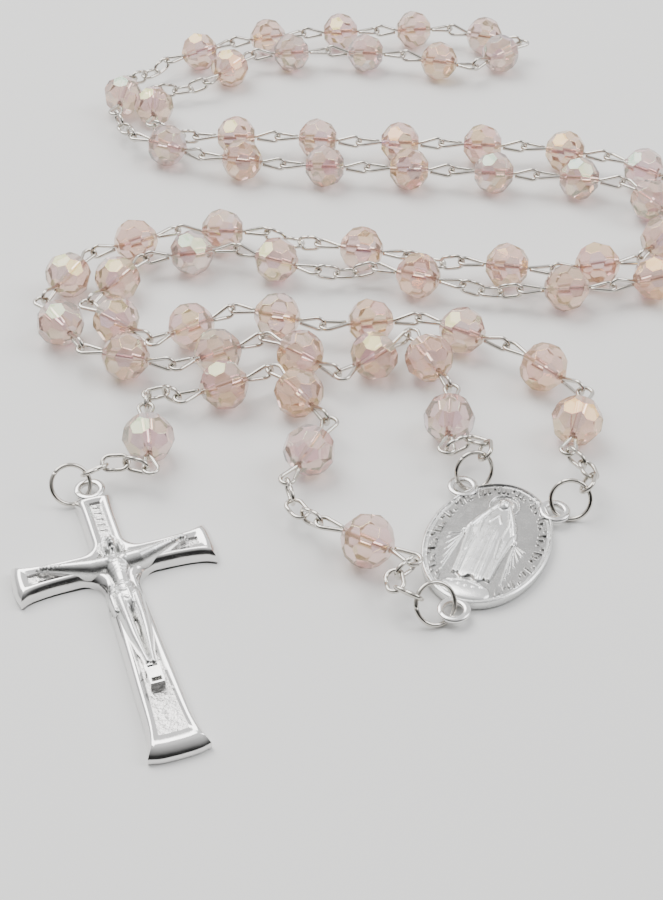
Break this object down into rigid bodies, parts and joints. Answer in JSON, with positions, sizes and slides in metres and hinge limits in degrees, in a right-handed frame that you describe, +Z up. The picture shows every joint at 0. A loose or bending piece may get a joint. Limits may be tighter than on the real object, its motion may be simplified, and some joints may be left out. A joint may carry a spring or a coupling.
{
  "type": "rosary",
  "caption": "Five-decade rosary: pale rose faceted glass beads on wire pins and short chains, jump rings, an oval centre medal and a flared crucifix.",
  "frame": {"origin": "middle of the medal's flat back, on the table", "axes": "+Z up from the table, +Y away from the viewer, +X to the viewer's right; the long axis of the medal is turned 22.5 degrees clockwise from +Y"},
  "size_m": [0.1128, 0.1863, 0.007],
  "materials": {
    "rose_glass": "polished, facetted, with an iridescent coating",
    "plated_wire": "polished silver plate",
    "medal_silver": "satin cast, polished rim",
    "crucifix_silver": "polished bevels, satin figure"
  },
  "bodies": {
    "medal": {"medal": "medal_silver"},
    "fold_beads_01_02": {"right_beads_01_02": "rose_glass", "left_beads_01_02": "rose_glass"},
    "fold_beads_03_04": {"right_beads_03_04": "rose_glass", "left_beads_03_04": "rose_glass"},
    "fold_beads_05_06": {"right_beads_05_06": "rose_glass", "left_beads_05_06": "rose_glass"},
    "fold_beads_07_08": {"right_beads_07_08": "rose_glass", "left_beads_07_08": "rose_glass"},
    "fold_beads_09_10": {"right_beads_09_10": "rose_glass", "left_beads_09_10": "rose_glass"},
    "fold_beads_12_13": {"right_beads_12_13": "rose_glass", "left_beads_12_13": "rose_glass"},
    "fold_beads_14_15": {"right_beads_14_15": "rose_glass", "left_beads_14_15": "rose_glass"},
    "fold_beads_16_17": {"right_beads_16_17": "rose_glass", "left_beads_16_17": "rose_glass"},
    "fold_beads_18_19": {"right_beads_18_19": "rose_glass", "left_beads_18_19": "rose_glass"},
    "fold_beads_20_21": {"right_beads_20_21": "rose_glass", "left_beads_20_21": "rose_glass"},
    "fold_beads_23_24": {"right_beads_23_24": "rose_glass", "left_beads_23_24": "rose_glass"},
    "fold_beads_25_26": {"right_beads_25_26": "rose_glass", "left_beads_25_26": "rose_glass"},
    "fold_chain_00_01": {"right_chain_00_01": "plated_wire", "left_chain_00_01": "plated_wire"},
    "fold_chain_10_11": {"right_chain_10_11": "plated_wire", "left_chain_10_11": "plated_wire"},
    "fold_chain_11_12": {"right_chain_11_12": "plated_wire", "left_chain_11_12": "plated_wire"},
    "fold_chain_21_22": {"right_chain_21_22": "plated_wire", "left_chain_21_22": "plated_wire"},
    "fold_chain_22_23": {"right_chain_22_23": "plated_wire", "left_chain_22_23": "plated_wire"},
    "fold_our_father_11": {"right_our_father_11": "rose_glass", "left_our_father_11": "rose_glass"},
    "fold_our_father_22": {"right_our_father_22": "rose_glass", "left_our_father_22": "rose_glass"},
    "fold_ring": {"right_ring": "plated_wire", "left_ring": "plated_wire"},
    "end_beads_27": {"end_beads_27": "rose_glass"},
    "crucifix": {"crucifix": "crucifix_silver"},
    "crucifix_ring": {"crucifix_ring": "plated_wire"},
    "medal_ring_low": {"medal_ring_low": "plated_wire"},
    "pendant_bead_1": {"pendant_bead_1": "rose_glass"},
    "pendant_bead_2": {"pendant_bead_2": "rose_glass"},
    "pendant_bead_3": {"pendant_bead_3": "rose_glass"},
    "pendant_bead_4": {"pendant_bead_4": "rose_glass"},
    "pendant_bead_5": {"pendant_bead_5": "rose_glass"},
    "pendant_chain_1_2": {"pendant_chain_1_2": "plated_wire"},
    "pendant_chain_4_5": {"pendant_chain_4_5": "plated_wire"},
    "pendant_chain_5_medal": {"pendant_chain_5_medal": "plated_wire"},
    "pendant_chain_crucifix": {"pendant_chain_crucifix": "plated_wire"},
    "pendant_pin_1": {"pendant_pin_1": "plated_wire"},
    "pendant_pin_2": {"pendant_pin_2": "plated_wire"},
    "pendant_pin_3": {"pendant_pin_3": "plated_wire"},
    "pendant_pin_4": {"pendant_pin_4": "plated_wire"},
    "pendant_pin_5": {"pendant_pin_5": "plated_wire"}
  },
  "joints": [
    {"name": "beads_01_02_hinge", "type": "hinge", "parent": "fold_chain_00_01", "child": "fold_beads_01_02", "pos_m": [0.01258, 0.01463, 0.00358], "axis": [-0.9953, 0.0963, 0.0026], "range_deg": [-30, 30]},
    {"name": "beads_03_04_hinge", "type": "hinge", "parent": "fold_beads_01_02", "child": "fold_beads_03_04", "pos_m": [0.00546, 0.04017, 0.0035], "axis": [0.9892, -0.1464, 0], "range_deg": [-30, 30]},
    {"name": "beads_05_06_hinge", "type": "hinge", "parent": "fold_beads_03_04", "child": "fold_beads_05_06", "pos_m": [-0.02196, 0.04532, 0.0035], "axis": [-0.9246, -0.3809, 0], "range_deg": [-30, 30]},
    {"name": "beads_07_08_hinge", "type": "hinge", "parent": "fold_beads_05_06", "child": "fold_beads_07_08", "pos_m": [-0.04777, 0.04169, 0.0035], "axis": [0.9842, 0.1772, 0], "range_deg": [-30, 30]},
    {"name": "beads_09_10_hinge", "type": "hinge", "parent": "fold_beads_07_08", "child": "fold_beads_09_10", "pos_m": [-0.04978, 0.06357, 0.0035], "axis": [-0.981, 0.1938, 0], "range_deg": [-30, 30]},
    {"name": "beads_12_13_hinge", "type": "hinge", "parent": "fold_chain_11_12", "child": "fold_beads_12_13", "pos_m": [0.00837, 0.05476, 0.00326], "axis": [0.7347, -0.6784, 0], "range_deg": [-30, 30]},
    {"name": "beads_14_15_hinge", "type": "hinge", "parent": "fold_beads_12_13", "child": "fold_beads_14_15", "pos_m": [0.03757, 0.06074, 0.00351], "axis": [-0.939, 0.3439, 0], "range_deg": [-30, 30]},
    {"name": "beads_16_17_hinge", "type": "hinge", "parent": "fold_beads_14_15", "child": "fold_beads_16_17", "pos_m": [0.03938, 0.08709, 0.00351], "axis": [1, -0.0051, 0], "range_deg": [-30, 30]},
    {"name": "beads_18_19_hinge", "type": "hinge", "parent": "fold_beads_16_17", "child": "fold_beads_18_19", "pos_m": [0.01353, 0.09944, 0.00351], "axis": [-0.8468, -0.5319, 0], "range_deg": [-30, 30]},
    {"name": "beads_20_21_hinge", "type": "hinge", "parent": "fold_beads_18_19", "child": "fold_beads_20_21", "pos_m": [-0.01581, 0.10113, 0.00351], "axis": [0.8597, 0.5108, 0], "range_deg": [-30, 30]},
    {"name": "beads_23_24_hinge", "type": "hinge", "parent": "fold_chain_22_23", "child": "fold_beads_23_24", "pos_m": [-0.04492, 0.12372, 0.00326], "axis": [-0.6789, 0.7342, 0], "range_deg": [-30, 30]},
    {"name": "beads_25_26_hinge", "type": "hinge", "parent": "fold_beads_23_24", "child": "fold_beads_25_26", "pos_m": [-0.02065, 0.13692, 0.00351], "axis": [0.5283, -0.849, 0], "range_deg": [-30, 30]},
    {"name": "chain_00_01_hinge", "type": "hinge", "parent": "fold_ring", "child": "fold_chain_00_01", "pos_m": [0.01354, 0.00717, 0.00419], "axis": [-0.8998, 0.4355, 0.0254], "range_deg": [-30, 15]},
    {"name": "chain_10_11_hinge", "type": "hinge", "parent": "fold_beads_09_10", "child": "fold_chain_10_11", "pos_m": [-0.02218, 0.06019, 0.0035], "axis": [0.6129, -0.7902, 0], "range_deg": [-30, 30]},
    {"name": "chain_11_12_hinge", "type": "hinge", "parent": "fold_our_father_11", "child": "fold_chain_11_12", "pos_m": [0.00054, 0.05602, 0.00351], "axis": [-0.7198, 0.6942, 0], "range_deg": [-30, 30]},
    {"name": "chain_21_22_hinge", "type": "hinge", "parent": "fold_beads_20_21", "child": "fold_chain_21_22", "pos_m": [-0.04498, 0.10347, 0.00351], "axis": [0.9992, -0.0388, 0], "range_deg": [-30, 30]},
    {"name": "chain_22_23_hinge", "type": "hinge", "parent": "fold_our_father_22", "child": "fold_chain_22_23", "pos_m": [-0.05251, 0.12143, 0.00351], "axis": [-0.7523, 0.6588, 0], "range_deg": [-30, 30]},
    {"name": "our_father_11_hinge", "type": "hinge", "parent": "fold_chain_10_11", "child": "fold_our_father_11", "pos_m": [-0.01428, 0.06089, 0.00326], "axis": [0.7714, -0.6363, 0], "range_deg": [-30, 30]},
    {"name": "our_father_22_hinge", "type": "hinge", "parent": "fold_chain_21_22", "child": "fold_our_father_22", "pos_m": [-0.05206, 0.10703, 0.00326], "axis": [-0.891, 0.454, 0], "range_deg": [-30, 30]},
    {"name": "ring_hinge", "type": "hinge", "parent": "medal", "child": "fold_ring", "pos_m": [0.01096, 0.00635, 0.00115], "axis": [0.9117, -0.4108, 0], "range_deg": [0, 20]},
    {"name": "end_beads_27_hinge", "type": "hinge", "parent": "fold_beads_25_26", "child": "end_beads_27", "pos_m": [0.0075, 0.13112, 0.00351], "axis": [-0.2434, 0.9699, 0], "range_deg": [-30, 30]},
    {"name": "crucifix_hinge", "type": "hinge", "parent": "crucifix_ring", "child": "crucifix", "pos_m": [-0.05477, 0.0099, 0.00133], "axis": [0.0872, -0.9962, 0], "range_deg": [-8, 15]},
    {"name": "crucifix_ring_hinge", "type": "hinge", "parent": "pendant_chain_crucifix", "child": "crucifix_ring", "pos_m": [-0.05351, 0.01145, 0.00303], "axis": [0.5399, -0.409, -0.7357], "range_deg": [-20, 20]},
    {"name": "medal_ring_low_hinge", "type": "hinge", "parent": "medal", "child": "medal_ring_low", "pos_m": [-0.00676, -0.01242, 0.00115], "axis": [0.0246, -0.9997, 0], "range_deg": [-12, 8]},
    {"name": "bead_spin_1", "type": "hinge", "parent": "pendant_pin_1", "child": "pendant_bead_1", "pos_m": [-0.04578, 0.01843, 0.00351], "axis": [0.1414, -0.99, 0], "continuous": true},
    {"name": "bead_spin_2", "type": "hinge", "parent": "pendant_pin_2", "child": "pendant_bead_2", "pos_m": [-0.03589, 0.03036, 0.00351], "axis": [-0.8899, -0.4561, 0], "continuous": true},
    {"name": "bead_spin_3", "type": "hinge", "parent": "pendant_pin_3", "child": "pendant_bead_3", "pos_m": [-0.02506, 0.02852, 0.00351], "axis": [-0.5508, 0.8347, 0], "continuous": true},
    {"name": "bead_spin_4", "type": "hinge", "parent": "pendant_pin_4", "child": "pendant_bead_4", "pos_m": [-0.02343, 0.01579, 0.00351], "axis": [0.4272, 0.9041, 0], "continuous": true},
    {"name": "bead_spin_5", "type": "hinge", "parent": "pendant_pin_5", "child": "pendant_bead_5", "pos_m": [-0.01571, -0.00225, 0.0035], "axis": [-0.8591, 0.5118, 0], "continuous": true},
    {"name": "pendant_chain_1_2_hinge", "type": "hinge", "parent": "pendant_pin_2", "child": "pendant_chain_1_2", "pos_m": [-0.04276, 0.02697, 0.00351], "axis": [0.3552, -0.9348, 0], "range_deg": [-20, 20]},
    {"name": "pendant_chain_4_5_hinge", "type": "hinge", "parent": "pendant_pin_5", "child": "pendant_chain_4_5", "pos_m": [-0.02194, 0.00203, 0.0035], "axis": [-0.8535, -0.5211, 0], "range_deg": [-20, 20]},
    {"name": "pendant_chain_5_medal_hinge", "type": "hinge", "parent": "medal_ring_low", "child": "pendant_chain_5_medal", "pos_m": [-0.00981, -0.01249, 0.00364], "axis": [0, 0, 1], "range_deg": [0, 20]},
    {"name": "pendant_chain_crucifix_hinge", "type": "hinge", "parent": "pendant_pin_1", "child": "pendant_chain_crucifix", "pos_m": [-0.04588, 0.01195, 0.00351], "axis": [-0.074, -0.9973, 0], "range_deg": [-20, 20]},
    {"name": "pendant_pin_1_hinge", "type": "hinge", "parent": "pendant_chain_1_2", "child": "pendant_pin_1", "pos_m": [-0.0467, 0.02641, 0.00326], "axis": [0.99, 0.1414, 0], "range_deg": [-20, 20]},
    {"name": "pendant_pin_2_hinge", "type": "hinge", "parent": "pendant_pin_3", "child": "pendant_pin_2", "pos_m": [-0.02963, 0.03357, 0.00351], "axis": [0.4561, -0.8899, 0], "range_deg": [-20, 20]},
    {"name": "pendant_pin_3_hinge", "type": "hinge", "parent": "pendant_pin_4", "child": "pendant_pin_3", "pos_m": [-0.02118, 0.02265, 0.00351], "axis": [-0.8347, -0.5508, 0], "range_deg": [-20, 20]},
    {"name": "pendant_pin_4_hinge", "type": "hinge", "parent": "pendant_chain_4_5", "child": "pendant_pin_4", "pos_m": [-0.02616, 0.00846, 0.00326], "axis": [-0.9041, 0.4272, 0], "range_deg": [-20, 20]},
    {"name": "pendant_pin_5_hinge", "type": "hinge", "parent": "pendant_chain_5_medal", "child": "pendant_pin_5", "pos_m": [-0.01038, -0.0066, 0.00352], "axis": [-0.5118, -0.8591, 0], "range_deg": [-20, 20]}
  ]
}
